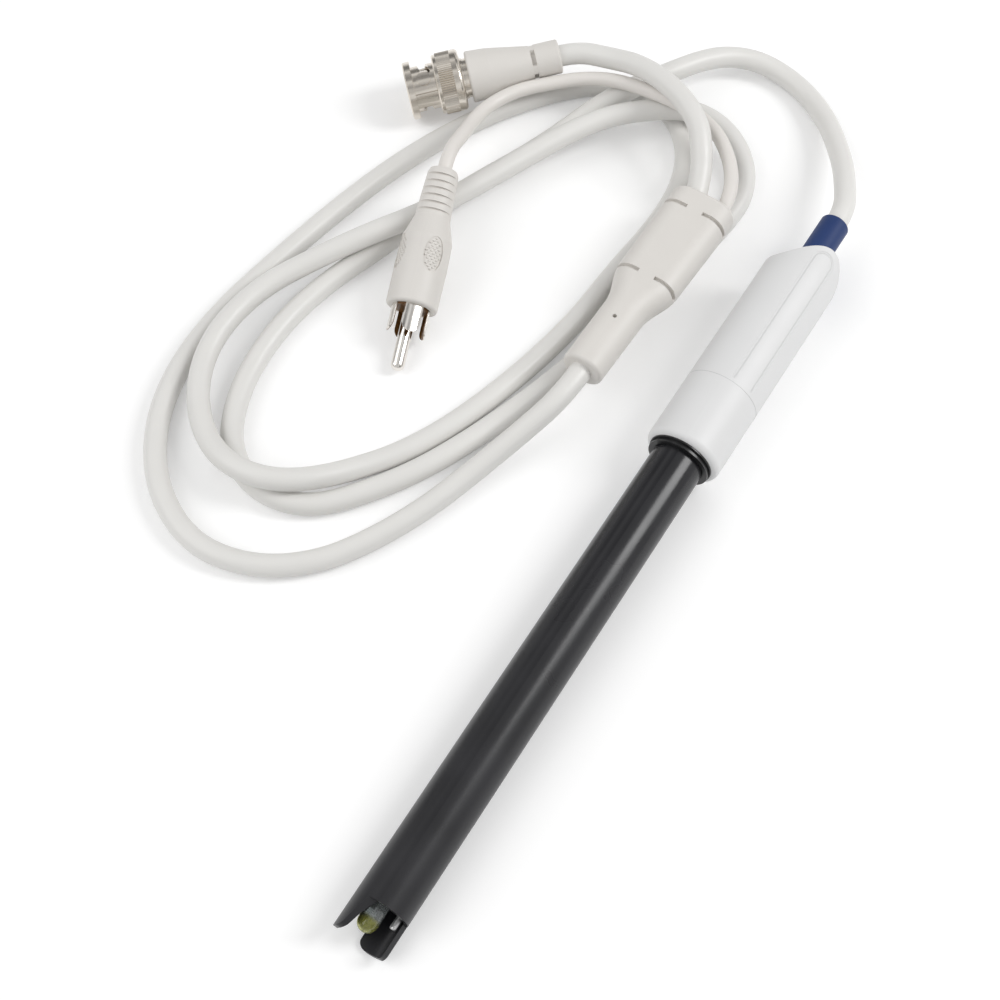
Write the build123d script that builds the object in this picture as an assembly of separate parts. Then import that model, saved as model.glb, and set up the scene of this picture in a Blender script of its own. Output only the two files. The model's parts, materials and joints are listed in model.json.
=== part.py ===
from build123d import *
import math
import os

# Combination pH electrode with its fixed cable, a bayonet plug and a phono plug.
# Millimetres, +Z up. The probe lies along X with its glass tip at -X, and the cable lies in loose
# loops beside it. The origin is below the middle of the probe, on the surface that it rests on.

BASE = (Align.CENTER, Align.CENTER, Align.MIN)

# General clearances, overruns and the share of a run that an arc takes
overrun = 1.0
glue_gap = 0.02
slip_gap = 0.05
fine_gap = 0.03
arc_share = 0.45

# Probe, measured along its axis from the ends of the tip guard
shaft_radius = 6.0
shaft_wall = 1.0
guard_length = 7.5
head_front = 122.65
sleeve_length = 17.85
body_length = 42.2
relief_proud_length = 15.6
shaft_tail_length = 9.5
shaft_tail_radius = 5.8
shoulder_gap = 0.3
head_radius = 8.75
head_rim_fillet = 1.5

# Tip guard: two prongs, given by the direction they stand in and the half angles they span
prong_a_angle = -70.0
prong_a_root_spread = 49.0
prong_a_end_spread = 25.0
prong_a_corner = 2.2
prong_b_angle = 147.0
prong_b_spread = 37.0
prong_b_corner = 1.6

# Glass electrode with its silver wire
glass_radius = 2.15
glass_wall = 0.4
glass_front = 2.0
glass_seat_length = 11.35
glass_distance = 0.8
glass_angle = -74.0
stopper_length = 5.0
wire_radius = 0.25
wire_front = 6.0
wire_tail_length = 4.0

# Tip plug, temperature sensor, reference element and electrolyte
tip_plug_front = 9.0
tip_plug_length = 5.0
sensor_radius = 0.75
sensor_distance = 3.9
sensor_angle = 110.0
sensor_front = 5.5
sensor_length = 18.5
sensor_end_fillet = 0.4
junction_radius = 0.5
junction_distance = 3.6
junction_angle = 20.0
reference_radius = 0.9
reference_distance = 3.75
reference_angle = 200.0
reference_length = 64.0
reference_seat_length = 7.35
electrolyte_seat_length = 3.35
shaft_plug_length = 14.0

# Leads inside the head
lead_radius = 0.4
lead_straight_length = 3.0
lead_bundle_distance = 1.0
lead_bundle_angles = (-74.0, 200.0, 63.0)

# Collar ring, head and seal
collar_proud_length = 1.35
collar_radius = 7.45
collar_bead_radius = 7.2
collar_bead_length = 0.35
collar_step_radius = 6.85
collar_seat_length = 2.8
seal_radius = 0.9
seal_seat_length = 10.35
spigot_radius = 7.1
spigot_length = 5.5
end_wall_length = 14.7
cut_rise = 5.0
cut_angle = 41.0
cut_slope_share = 0.35
cut_rim_fillet = 1.2
panel_angle = 41.5
panel_width = 5.4
panel_front_margin = 4.7
panel_back_margin = 3.5
panel_groove_width = 0.4
panel_groove_depth = 0.25

# Strain relief where the cable leaves the head
relief_radius = 3.45
relief_flange_radius = 5.5
relief_flange_length = 3.0
relief_bore_radius = 2.0
relief_end_wall = 8.0
relief_rim_fillet = 0.4

# Cables
cable_diameter = 5.2
thin_diameter = 3.4

# Splitter: a moulded block that parts the cable in two
splitter_narrow_end = (30.6, 29.3, 10.0)
splitter_wide_end = (84.8, 28.4, 10.0)
splitter_thickness = 9.2
splitter_narrow_width = 9.8
splitter_neck_width = 10.0
splitter_shoulder_width = 15.6
splitter_wide_width = 16.5
splitter_neck_length = 17.4
splitter_taper_length = 12.0
splitter_side_fillet = 4.3
splitter_rim_fillet = 0.9
splitter_bow = 0.6
splitter_slot_width = 1.0
splitter_slot_depth = 0.9
splitter_slot_inner = 2.0
splitter_slot_places = (27.4, 49.0)
splitter_hole_radius = 0.5
splitter_hole_place = 13.7
splitter_hole_depth = 1.5
stub_length = 1.3
stub_wall = 0.6
cable_port = (86.2, 31.4, 10.0)
cable_port_direction = (0.938, 0.278, 0.208)
thin_port = (86.1, 24.1, 10.0)
thin_port_direction = (0.990, 0.139, 0.035)

# Bayonet plug, measured from its front face towards the cable
bayonet_front = (79.43, 108.21, 7.0)
bayonet_back = (105.26, 80.34, 12.0)
bayonet_roll = 71.9
nut_flange_radius = 7.0
nut_flange_length = 1.8
nut_flange_chamfer = 0.3
barrel_radius = 5.5
knurl_front = 7.3
knurl_back = 13.9
knurl_root_radius = 7.2
knurl_tip_radius = 7.45
knurl_ridge_front = 8.3
knurl_ridge_back = 11.8
knurl_ridges = 86
knurl_ledge_radius = 6.9
nut_lip_fillet = 0.9
nut_bore_radius = 4.9
nut_bore_length = 7.6
nut_cavity_radius = 6.5
nut_rear_wall = 0.9
cam_depth = 0.85
cam_width = 2.3
cam_entry_length = 4.6
cam_start = 3.6
cam_rise = 1.6
cam_sweep = 105.0
cam_end_radius = 1.3
ledge_radius = 6.3
ledge_spread = 17.0
boss_radius = 1.75
boss_height_radius = 5.95
boss_place = 4.5
boss_lead = 127.0
cam_count = 2

contact_outer_radius = 4.05
contact_inner_radius = 3.5
contact_seat_radius = 3.85
contact_seat_front = 7.9
contact_front = 1.3
contact_slot_width = 0.6
contact_slot_length = 3.0
contact_slots = 4
collar_disc_front = 9.0
collar_disc_back = 10.0
collar_disc_radius = 6.2
neck_radius = 4.7
neck_bore_radius = 2.9
step_radius = 4.95
step_length = 0.5
gasket_length = 1.0
slip_washer_thickness = 0.5
spring_thickness = 0.3
insulator_front = 5.0
bayonet_pin_radius = 0.66
bayonet_pin_tail_radius = 0.45
bayonet_pin_gap = 0.1
bayonet_pin_front = 2.4
bayonet_pin_back = 14.5
bayonet_tip_fillet = 0.5

ferrule_length = 7.0
ferrule_radius = 4.75
ferrule_wall = 1.0
boot_front = 15.4
boot_front_radius = 6.3
boot_waist_radius = 5.95
boot_waist = 20.6
boot_back_radius = 4.1
boot_slot_front = 31.2
boot_slot_back = 32.3
boot_slot_core_radius = 3.1
boot_slots = 4
boot_web_width = 2.2
boot_collar_radius = 4.15
boot_rim_fillet = 0.5

# Phono plug, measured from the cable end towards its tip
phono_back = (57.35, 82.91, 15.6)
phono_front = (26.4, 71.96, 6.15)
phono_top_angle = -6.2
phono_back_radius = 3.3
phono_neck_radius = 3.65
phono_neck_length = 0.9
phono_grip_radius = 4.2
phono_grip_length = 12.0
phono_flare_radius = 5.9
phono_flare_length = 17.5
phono_belly_radius = 6.1
phono_belly_length = 24.0
phono_rim_radius = 6.0
phono_rim_fillet = 0.7
phono_grooves = 6
phono_groove_first = 2.0
phono_groove_pitch = 1.79
phono_groove_width = 0.6
phono_groove_depth = 0.55
phono_groove_flare = 0.05
pad_length = 8.6
pad_width = 4.6
pad_depth = 0.2
pad_place = 22.0
pad_angle = -25.0
pad_count = 4
petal_radius = 4.5
petal_wall = 0.4
petal_length = 6.4
petal_spread = 27.0
petal_angle = -14.0
petal_count = 4
petal_root = 9.0
phono_pin_radius = 1.6
phono_pin_tail_radius = 1.3
phono_pin_gap = 0.1
phono_pin_length = 15.0
phono_pin_tip_fillet = 1.3
phono_insulator_proud = 0.3
phono_insulator_length = 8.0


def unit(vector):
    """The vector with a length of one."""
    length = math.hypot(*vector)
    return tuple(part / length for part in vector)


def between(start, end):
    """The direction from one place to another."""
    return unit(tuple(b - a for a, b in zip(start, end)))


def along(place, direction, distance):
    """A place moved along a direction."""
    return tuple(a + b * distance for a, b in zip(place, direction))


def placed(origin, direction):
    """The frame whose Z runs along the direction and whose X is turned upwards."""
    z_dir = Vector(*direction).normalized()
    up = Vector(0, 0, 1)
    x_dir = up - z_dir * up.dot(z_dir)
    return Plane(origin=origin, x_dir=x_dir, z_dir=z_dir).location


def polar(radius, angle, height=0):
    """A place given by its radius, its angle about Z and its height."""
    turn = math.radians(angle)
    return (radius * math.cos(turn), radius * math.sin(turn), height)


def bar(radius, start, end):
    """A round bar along Z."""
    return Pos(0, 0, start) * Cylinder(radius, end - start, align=BASE)


def tube(outer, inner, start, end):
    """A round tube along Z."""
    return bar(outer, start, end) - bar(inner, start, end)


def turned(*outline):
    """A turned piece, from its outline in radius and height."""
    return revolve(Plane.XZ * make_face(Polyline(*outline, close=True)), Axis.Z)


def radial_plane(angle):
    """The plane through the axis that faces outwards at an angle, with Z upwards on it."""
    return Plane(origin=(0, 0, 0), x_dir=polar(1, angle + 90), z_dir=polar(1, angle))


def sector(spread, radius, start, end):
    """A wedge about X that spans a half angle to each side."""
    side = radius / math.cos(math.radians(spread))
    outline = Polyline((0, 0), polar(side, -spread)[:2], polar(side, spread)[:2], close=True)
    return Pos(0, 0, start) * extrude(make_face(outline), amount=end - start)


def corner_radii(points):
    """The arc at each corner of a route: as large as its two runs allow."""
    radii = []
    for before, corner, after in zip(points, points[1:], points[2:]):
        first = Vector(*corner) - Vector(*before)
        second = Vector(*after) - Vector(*corner)
        half_turn = math.radians(first.get_angle(second)) / 2
        radii.append(arc_share * min(first.length, second.length) / math.tan(half_turn))
    return radii


# Places along the probe that follow from the lengths above
head_seam = head_front + sleeve_length
cut_middle = head_seam + body_length
probe_length = cut_middle + relief_proud_length
shaft_back = head_seam + shaft_tail_length
cavity_back = cut_middle - end_wall_length
collar_front = head_front - collar_proud_length
seal_middle = head_front + seal_seat_length
glass_back = head_front + glass_seat_length
wire_back = glass_back + wire_tail_length
reference_back = head_front + reference_seat_length
reference_front = reference_back - reference_length
electrolyte_back = head_front + electrolyte_seat_length
panel_front = head_seam + panel_front_margin
panel_back = cut_middle + panel_back_margin

# Where the probe lies: the guard and the rim of the head both touch the surface
rim_run = head_front + head_rim_fillet
rim_drop = head_radius - head_rim_fillet - shaft_radius
tilt = math.atan2(rim_drop, rim_run) + math.asin(head_rim_fillet / math.hypot(rim_run, rim_drop))
probe_direction = (math.cos(tilt), 0, math.sin(tilt))
tip_middle = (-probe_length / 2 * math.cos(tilt), 0, shaft_radius * math.cos(tilt))
probe_place = placed(tip_middle, probe_direction)
relief_end = along(tip_middle, probe_direction, probe_length)

bayonet_direction = between(bayonet_front, bayonet_back)
bayonet_length = math.dist(bayonet_front, bayonet_back)
bayonet_place = placed(bayonet_front, bayonet_direction)
phono_direction = between(phono_back, phono_front)
phono_length = math.dist(phono_back, phono_front)
phono_place = placed(phono_back, phono_direction)
splitter_direction = between(splitter_narrow_end, splitter_wide_end)
splitter_length = math.dist(splitter_narrow_end, splitter_wide_end)

# Values that follow from the sizes above
shaft_bore = shaft_radius - shaft_wall
tip_plug_back = tip_plug_front + tip_plug_length
sensor_back = sensor_front + sensor_length
shaft_plug_front = shaft_back - shaft_plug_length
glass_middle = polar(glass_distance, glass_angle)
sensor_middle = polar(sensor_distance, sensor_angle)
reference_middle = polar(reference_distance, reference_angle)
relief_bore_back = probe_length - relief_end_wall
nut_wall_front = knurl_back - nut_rear_wall
washer_back = nut_wall_front - glue_gap
washer_front = washer_back - slip_washer_thickness


# Probe
def prong(angle, root_half, end_half, corner):
    """One prong of the guard, narrowing to a rounded end, cut from the shaft's tube."""
    root = guard_length + overrun
    outline = Polyline((-root_half, root), (-root_half, guard_length), (-end_half, 0), (end_half, 0),
                       (root_half, guard_length), (root_half, root), close=True)
    face = make_face(outline)
    face = fillet(face.vertices().group_by(Axis.Y)[0], corner)
    solid = extrude(radial_plane(angle) * face, amount=shaft_radius + overrun)
    return solid & tube(shaft_radius, shaft_bore, 0, root)


def chord(spread):
    """Half the width of a sector of the shaft."""
    return shaft_radius * math.sin(math.radians(spread))


def shaft():
    """The outer tube, with the two prongs that guard the glass and a thinner tail in the head."""
    first = prong(prong_a_angle, chord(prong_a_root_spread), chord(prong_a_end_spread), prong_a_corner)
    second = prong(prong_b_angle, chord(prong_b_spread), chord(prong_b_spread), prong_b_corner)
    shoulder = collar_front - shoulder_gap
    body = tube(shaft_radius, shaft_bore, guard_length, shoulder) + first + second
    return body + tube(shaft_tail_radius, shaft_bore, shoulder, shaft_back)


def glass_electrode():
    """The glass stem, blown to a round pH-sensitive end."""
    def rounded(radius, front):
        return bar(radius, front + radius, glass_back) + Pos(0, 0, front + radius) * Sphere(radius)
    stem = rounded(glass_radius, glass_front)
    stem -= rounded(glass_radius - glass_wall, glass_front + glass_wall)
    return Pos(*glass_middle) * stem


def stem_stopper():
    """The stopper that closes the stem round its wire."""
    stopper = bar(glass_radius - glass_wall - glue_gap, glass_back - stopper_length, glass_back)
    return Pos(*glass_middle) * (stopper - bar(wire_radius + glue_gap, 0, glass_back))


def silver_wire():
    """The wire that takes the signal out of the stem."""
    return Pos(*glass_middle) * bar(wire_radius, wire_front, wire_back)


def stem_hole():
    """The space that the stem takes."""
    return Pos(*glass_middle) * bar(glass_radius + glue_gap, 0, glass_back)


def sensor_hole():
    """The space that the sensor and its leads take."""
    thick = bar(sensor_radius + glue_gap, 0, sensor_back)
    thin = bar(lead_radius + glue_gap, 0, shaft_back)
    return Pos(*sensor_middle) * (thick + thin)


def reference_hole():
    """The space that the reference element and its lead take."""
    thick = bar(reference_radius + glue_gap, reference_front, reference_back)
    thin = bar(lead_radius + glue_gap, reference_back, shaft_back)
    return Pos(*reference_middle) * (thick + thin)


def tip_plug():
    """The plug that holds the glass and the sensor, with the open junction through it."""
    plug = bar(shaft_bore - glue_gap, tip_plug_front, tip_plug_back)
    junction = Pos(*polar(junction_distance, junction_angle)) * bar(junction_radius, 0, tip_plug_back)
    return plug - stem_hole() - sensor_hole() - junction


def polymer_electrolyte():
    """The stiff electrolyte that fills the shaft round the stem."""
    fill = bar(shaft_bore - glue_gap, tip_plug_back, electrolyte_back)
    return fill - stem_hole() - sensor_hole() - reference_hole()


def reference_element():
    """The reference half cell, a rod in the electrolyte."""
    return Pos(*reference_middle) * bar(reference_radius, reference_front, reference_back)


def temperature_sensor():
    """The closed metal tube of the temperature sensor."""
    body = bar(sensor_radius, sensor_front, sensor_back)
    body = fillet(body.edges().group_by(Axis.Z)[0], sensor_end_fillet)
    return Pos(*sensor_middle) * body


def shaft_plug():
    """The potting that closes the shaft inside the head."""
    plug = bar(shaft_bore - glue_gap, shaft_plug_front, shaft_back)
    wire = Pos(*glass_middle) * bar(lead_radius + glue_gap, 0, shaft_back)
    return plug - wire - sensor_hole() - reference_hole()


def lead(middle, start, angle):
    """A lead that runs straight to the head and then bends into the relief's bore."""
    bundled = polar(lead_bundle_distance, angle)
    points = (
        (middle[0], middle[1], start),
        (middle[0], middle[1], shaft_back + lead_straight_length),
        (bundled[0], bundled[1], cavity_back - relief_flange_length - lead_straight_length),
        (bundled[0], bundled[1], relief_bore_back),
    )
    path = FilletPolyline(*points, radius=corner_radii(points))
    section = Plane(origin=path @ 0, z_dir=path % 0) * Circle(lead_radius)
    return sweep(section, path=path)


def signal_lead():
    """The lead from the silver wire."""
    return lead(glass_middle, wire_back, lead_bundle_angles[0])


def reference_lead():
    """The lead from the reference element."""
    return lead(reference_middle, reference_back, lead_bundle_angles[1])


def sensor_leads():
    """The leads from the temperature sensor, as one."""
    return lead(sensor_middle, sensor_back, lead_bundle_angles[2])


def collar_ring():
    """The dark ring that shows between the shaft and the head."""
    inner = shaft_tail_radius + slip_gap
    bead = collar_front + collar_bead_length
    return turned(
        (inner, collar_front), (collar_bead_radius, collar_front), (collar_bead_radius, bead),
        (collar_step_radius, bead), (collar_step_radius, head_front - collar_bead_length),
        (collar_radius, head_front - collar_bead_length), (collar_radius, head_front + collar_seat_length),
        (inner, head_front + collar_seat_length),
    )


def seal_groove_radius():
    """The radius of the groove that the seal lies in."""
    return shaft_tail_radius + 2 * (seal_radius + glue_gap)


def shaft_o_ring():
    """The seal between the shaft and the head."""
    return Pos(0, 0, seal_middle) * Torus(shaft_tail_radius + seal_radius + glue_gap, seal_radius)


def head_sleeve():
    """The front part of the head, a sleeve with a recess for the collar and a spigot behind."""
    sleeve = bar(head_radius, head_front, head_seam)
    sleeve = fillet(sleeve.edges().group_by(Axis.Z)[0], head_rim_fillet)
    spigot_back = head_seam + spigot_length
    sleeve += bar(spigot_radius, head_seam - overrun, spigot_back)
    sleeve -= bar(shaft_tail_radius + slip_gap, head_front, spigot_back)
    sleeve -= bar(collar_radius + fine_gap, head_front, head_front + collar_seat_length + fine_gap)
    groove_half = seal_radius + slip_gap
    return sleeve - bar(seal_groove_radius(), seal_middle - groove_half, seal_middle + groove_half)


def head_end_cutter():
    """What the slanted end of the head leaves off: the space above an S-shaped line."""
    low, high = cut_middle - cut_rise, cut_middle + cut_rise
    slope = cut_slope_share * cut_rise / head_radius
    side = head_radius + overrun
    far = (-side, low - slope * overrun)
    near = (side, high + slope * overrun)
    line = Spline(far, (-head_radius, low), (0, cut_middle), (head_radius, high), near,
                  tangents=((1, slope), (1, slope)))
    reach = high + 3 * overrun
    face = make_face(line + Polyline(near, (side, reach), (-side, reach), far))
    plane = Plane(origin=polar(side, cut_angle + 90), x_dir=polar(1, cut_angle),
                  z_dir=polar(-1, cut_angle + 90))
    return extrude(plane * face, amount=2 * side)


def panel_groove():
    """The shallow groove round the bare label panel, open towards the seam."""
    def panel(half):
        straight = Polyline((-half, panel_front), (-half, panel_back - panel_width / 2))
        arc_top = panel_back - panel_width / 2 + half
        arc = ThreePointArc((-half, panel_back - panel_width / 2), (0, arc_top),
                            (half, panel_back - panel_width / 2))
        closing = Polyline((half, panel_back - panel_width / 2), (half, panel_front), (-half, panel_front))
        return make_face(straight + arc + closing)
    outline = panel(panel_width / 2) - panel(panel_width / 2 - panel_groove_width)
    solid = extrude(radial_plane(panel_angle) * outline, amount=head_radius + overrun)
    ring = tube(head_radius + overrun, head_radius - panel_groove_depth, panel_front - overrun,
                panel_back + overrun)
    return solid & ring


def head_body():
    """The rear part of the head, ending in a slanted face round the strain relief."""
    body = bar(head_radius, head_seam, cut_middle + cut_rise + overrun)
    body -= head_end_cutter()
    rim = body.edges().filter_by(lambda edge: edge.center().Z > panel_front)
    body = fillet(rim.filter_by(GeomType.LINE, reverse=True), cut_rim_fillet)
    body -= bar(spigot_radius + slip_gap, head_seam, cavity_back)
    body -= bar(relief_radius + slip_gap, cavity_back - overrun, probe_length)
    return body - panel_groove()


def strain_relief():
    """The sleeve that the cable leaves the head through, with a flange behind the end wall."""
    relief = bar(relief_radius, cavity_back - overrun, probe_length)
    relief = fillet(relief.edges().group_by(Axis.Z)[-1], relief_rim_fillet)
    flange_back = cavity_back - glue_gap
    relief += bar(relief_flange_radius, flange_back - relief_flange_length, flange_back)
    return relief - bar(relief_bore_radius, 0, relief_bore_back)


# Splitter
def splitter_outline(inset):
    """Half widths of the block, seen from above, drawn in from the edge by an inset."""
    neck = splitter_neck_length
    shoulder = neck + splitter_taper_length
    narrow = splitter_narrow_width / 2 - inset
    waist = splitter_neck_width / 2 - inset
    broad = splitter_shoulder_width / 2 - inset
    wide = splitter_wide_width / 2 - inset
    rise = (wide - broad) / (splitter_length - shoulder)
    left = Line((0, narrow), (neck, waist))
    left += Spline((neck, waist), (shoulder, broad), tangents=((1, 0), (1, rise)))
    left += Line((shoulder, broad), (splitter_length, wide))
    tip = (splitter_length + splitter_bow, 0)
    end = ThreePointArc((splitter_length, wide), tip, (splitter_length, -wide))
    return make_face(left + end + mirror(left, Plane.XZ) + Line((0, narrow), (0, -narrow)))


def splitter_block(inset):
    """The block with full round sides, drawn in by an inset."""
    half = splitter_thickness / 2 - inset
    block = extrude(splitter_outline(inset), amount=half, both=True)
    sides = block.edges().filter_by(lambda edge: abs(abs(edge.center().Z) - half) < fine_gap)
    sides = sides.filter_by(lambda edge: abs(edge.center().Y) > splitter_neck_width / 4)
    return fillet(sides, splitter_side_fillet - inset)


def splitter():
    """The moulded block, with slots where the mould held the cables and a stub at each port."""
    place = Plane(origin=splitter_narrow_end, x_dir=splitter_direction, z_dir=(0, 0, 1)).location
    block = splitter_block(0)
    ends = block.faces().sort_by(Axis.X)
    rims = ends[0].edges() + ends[-1].edges()
    block = fillet(rims, splitter_rim_fillet)
    core = splitter_block(splitter_slot_depth)
    reach = splitter_wide_width
    for middle in splitter_slot_places:
        for side in (1, -1):
            slab = Box(splitter_slot_width, reach, splitter_thickness)
            slab = Pos(middle, side * (splitter_slot_inner + reach / 2), 0) * slab
            skin = Pos(middle, 0, splitter_thickness / 2) * Box(reach, 2 * reach, splitter_thickness)
            block -= (slab & skin) - core
    hole = Pos(splitter_hole_place, 0, splitter_thickness / 2 - splitter_hole_depth)
    block -= hole * Cylinder(splitter_hole_radius, splitter_hole_depth + overrun, align=BASE)
    block = place * block
    ports = (
        (cable_port, cable_port_direction, cable_diameter),
        (thin_port, thin_port_direction, thin_diameter),
    )
    for port, direction, diameter in ports:
        start = along(port, unit(direction), -stub_length - 2 * overrun)
        stub = Cylinder(diameter / 2 + stub_wall, stub_length + 2 * overrun, align=BASE)
        block += placed(start, direction) * stub
    return block


# Bayonet plug
def cam(entry):
    """One cam track of the nut: a straight entry, a ramp through the wall and a round end."""
    depth = cam_depth + overrun
    middle_radius = nut_bore_radius - overrun + depth / 2
    straight = Pos(middle_radius, 0, 0) * Box(depth, cam_width, cam_entry_length + overrun, align=BASE)
    pitch = cam_rise * 360 / cam_sweep
    path = Helix(pitch, cam_rise, middle_radius)
    section = Plane(origin=path @ 0, x_dir=(1, 0, 0), z_dir=path % 0) * Rectangle(depth, cam_width)
    ramp = Pos(0, 0, cam_start) * sweep(section, path=path, is_frenet=True)
    end = extrude(radial_plane(cam_sweep) * Pos(0, cam_start + cam_rise) * Circle(cam_end_radius),
                  amount=nut_bore_radius + cam_depth)
    return Rot(0, 0, entry) * (Pos(0, 0, -overrun) * straight + ramp + end)


def ledge(entry):
    """The raised wall outside the straight entry of a cam track."""
    band = tube(ledge_radius, (nut_bore_radius + barrel_radius) / 2, 0, knurl_front)
    return Rot(0, 0, entry) * (band & sector(ledge_spread, ledge_radius, 0, knurl_front))


def boss(entry):
    """The bare round pad beside the end of a cam track."""
    pad = extrude(radial_plane(boss_lead) * Pos(0, boss_place) * Circle(boss_radius),
                  amount=ledge_radius)
    inner = nut_bore_radius + fine_gap
    return Rot(0, 0, entry) * (pad & tube(boss_height_radius, inner, 0, knurl_front + overrun))


def knurl():
    """The band of axial ridges, one outline for the whole band."""
    points = []
    for ridge in range(knurl_ridges):
        turn = 360 * ridge / knurl_ridges
        points.append(polar(knurl_root_radius, turn)[:2])
        points.append(polar(knurl_tip_radius, turn + 180 / knurl_ridges)[:2])
    face = make_face(Polyline(*points, close=True))
    return Pos(0, 0, knurl_ridge_front) * extrude(face, amount=knurl_ridge_back - knurl_ridge_front)


def bnc_nut():
    """The coupling nut: flange, barrel with two cam tracks, and a knurled grip with a rolled lip."""
    flange = bar(nut_flange_radius, 0, nut_flange_length)
    flange = chamfer(flange.edges().group_by(Axis.Z)[0], nut_flange_chamfer)
    nut = flange + bar(barrel_radius, 0, knurl_front + overrun)
    grip = bar(knurl_root_radius, knurl_front, knurl_back)
    grip = chamfer(grip.edges().group_by(Axis.Z)[0], knurl_root_radius - knurl_ledge_radius)
    lip = bar(knurl_tip_radius, knurl_ridge_back, knurl_back)
    lip = fillet(lip.edges().group_by(Axis.Z)[-1], nut_lip_fillet)
    nut += grip - bar(knurl_tip_radius, knurl_ridge_back, knurl_back) + lip + knurl()
    entries = [bayonet_roll + 360 * track / cam_count for track in range(cam_count)]
    for entry in entries:
        nut += ledge(entry)
    nut -= bar(nut_bore_radius, 0, nut_bore_length)
    for entry in entries:
        nut -= cam(entry)
    for entry in entries:
        nut += boss(entry)
    nut -= bar(nut_cavity_radius, nut_bore_length, nut_wall_front)
    return nut - bar(neck_radius + slip_gap, nut_wall_front, knurl_back)


def bnc_outer_contact():
    """The slotted spring sleeve that grips the inside of the socket."""
    sleeve = tube(contact_outer_radius, contact_inner_radius, contact_front, contact_seat_front)
    sleeve += tube(contact_seat_radius, contact_inner_radius, contact_seat_front, collar_disc_front)
    for slot in range(contact_slots):
        slab = Box(contact_outer_radius + overrun, contact_slot_width, contact_slot_length + overrun,
                   align=(Align.MIN, Align.CENTER, Align.MIN))
        turn = bayonet_roll + 360 * (slot + 1 / 2) / contact_slots
        sleeve -= Rot(0, 0, turn) * Pos(0, 0, contact_front - overrun) * slab
    return sleeve


def bnc_body():
    """The plug's body: a disc that holds the spring, a neck in the nut and a step behind the nut."""
    step_front = knurl_back + slip_gap
    neck_back = boot_front
    body = turned(
        (contact_inner_radius, collar_disc_front), (collar_disc_radius, collar_disc_front),
        (collar_disc_radius, collar_disc_back), (neck_radius, collar_disc_back),
        (neck_radius, step_front), (step_radius, step_front), (step_radius, step_front + step_length),
        (neck_radius - ferrule_wall - glue_gap, step_front + step_length),
        (neck_radius - ferrule_wall - glue_gap, neck_back), (neck_bore_radius, neck_back),
        (neck_bore_radius, collar_disc_back), (contact_inner_radius, collar_disc_back),
    )
    return body


def bnc_insulator():
    """The insulator that carries the centre pin."""
    outer = contact_inner_radius - glue_gap
    inner = neck_bore_radius - glue_gap
    body = bar(outer, insulator_front, collar_disc_back - glue_gap)
    body += bar(inner, collar_disc_back - overrun, bayonet_pin_back)
    return body - bar(bayonet_pin_tail_radius + glue_gap, insulator_front, bayonet_pin_back)


def bnc_pin():
    """The centre pin."""
    shoulder = insulator_front - bayonet_pin_gap
    pin = bar(bayonet_pin_radius, bayonet_pin_front, shoulder)
    pin = fillet(pin.edges().group_by(Axis.Z)[0], bayonet_tip_fillet)
    return pin + bar(bayonet_pin_tail_radius, shoulder, bayonet_pin_back)


def bnc_gasket():
    """The soft ring that the socket's rim presses on."""
    return tube(nut_bore_radius - 2 * slip_gap, contact_seat_radius + fine_gap,
                collar_disc_front - gasket_length, collar_disc_front)


def slip_washer():
    """The flat washer between the spring and the nut's rear wall."""
    return tube(nut_cavity_radius - 2 * slip_gap, neck_radius + slip_gap, washer_front, washer_back)


def wave_spring():
    """The bowed spring washer that pulls the coupling tight."""
    reach = collar_disc_radius
    low, high = collar_disc_back, washer_front
    lower = ThreePointArc((-reach, low), (0, high - spring_thickness), (reach, low))
    rise = low + spring_thickness
    upper = ThreePointArc((-reach, rise), (0, high), (reach, rise))
    ends = Line((-reach, low), (-reach, rise)) + Line((reach, low), (reach, rise))
    sheet = extrude(Plane.XZ * make_face(lower + upper + ends), amount=reach, both=True)
    return sheet & tube(collar_disc_radius, neck_radius + 2 * slip_gap, low, high)


def bnc_ferrule():
    """The crimped ring behind the body, half hidden by the boot."""
    inner = neck_radius - ferrule_wall
    front = knurl_back + slip_gap + step_length + glue_gap
    return tube(ferrule_radius, inner, front, front + ferrule_length)


def bnc_boot():
    """The soft boot: a tapered body, a ring of slots and an end collar round the cable."""
    body = turned(
        (0, boot_front), (boot_front_radius, boot_front), (boot_waist_radius, boot_waist),
        (boot_back_radius, boot_slot_front), (0, boot_slot_front),
    )
    body = fillet(body.edges().group_by(Axis.Z)[0], boot_rim_fillet)
    core = bar(boot_slot_core_radius, boot_slot_front - overrun, boot_slot_back + overrun)
    collar = bar(boot_collar_radius, boot_slot_back, bayonet_length)
    collar = fillet(collar.edges().group_by(Axis.Z)[-1], boot_rim_fillet)
    boot = body + core + collar
    band = bar(boot_back_radius, boot_slot_front, boot_slot_back)
    for web in range(boot_slots):
        turn = 360 * web / boot_slots
        slab = Box(boot_back_radius, boot_web_width, boot_slot_back - boot_slot_front,
                   align=(Align.MIN, Align.CENTER, Align.MIN))
        boot += (Rot(0, 0, bayonet_roll + turn) * Pos(0, 0, boot_slot_front) * slab) & band
    ferrule_back = knurl_back + slip_gap + step_length + glue_gap + ferrule_length
    boot -= bar(ferrule_radius + glue_gap, boot_front, ferrule_back)
    return boot


# Phono plug
def phono_radius(height):
    """The boot's radius where the grooves are."""
    share = (height - phono_neck_length) / (phono_grip_length - phono_neck_length)
    return phono_neck_radius + (phono_grip_radius - phono_neck_radius) * share


def phono_groove(height):
    """A groove that is deepest above and below and fades out at the sides."""
    radius = phono_radius(height)
    core = Ellipse(radius - phono_groove_depth, radius + phono_groove_flare)
    ring = extrude(Circle(radius + overrun) - core, amount=phono_groove_width / 2, both=True)
    return Rot(0, 0, phono_top_angle) * Pos(0, 0, height) * ring


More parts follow.
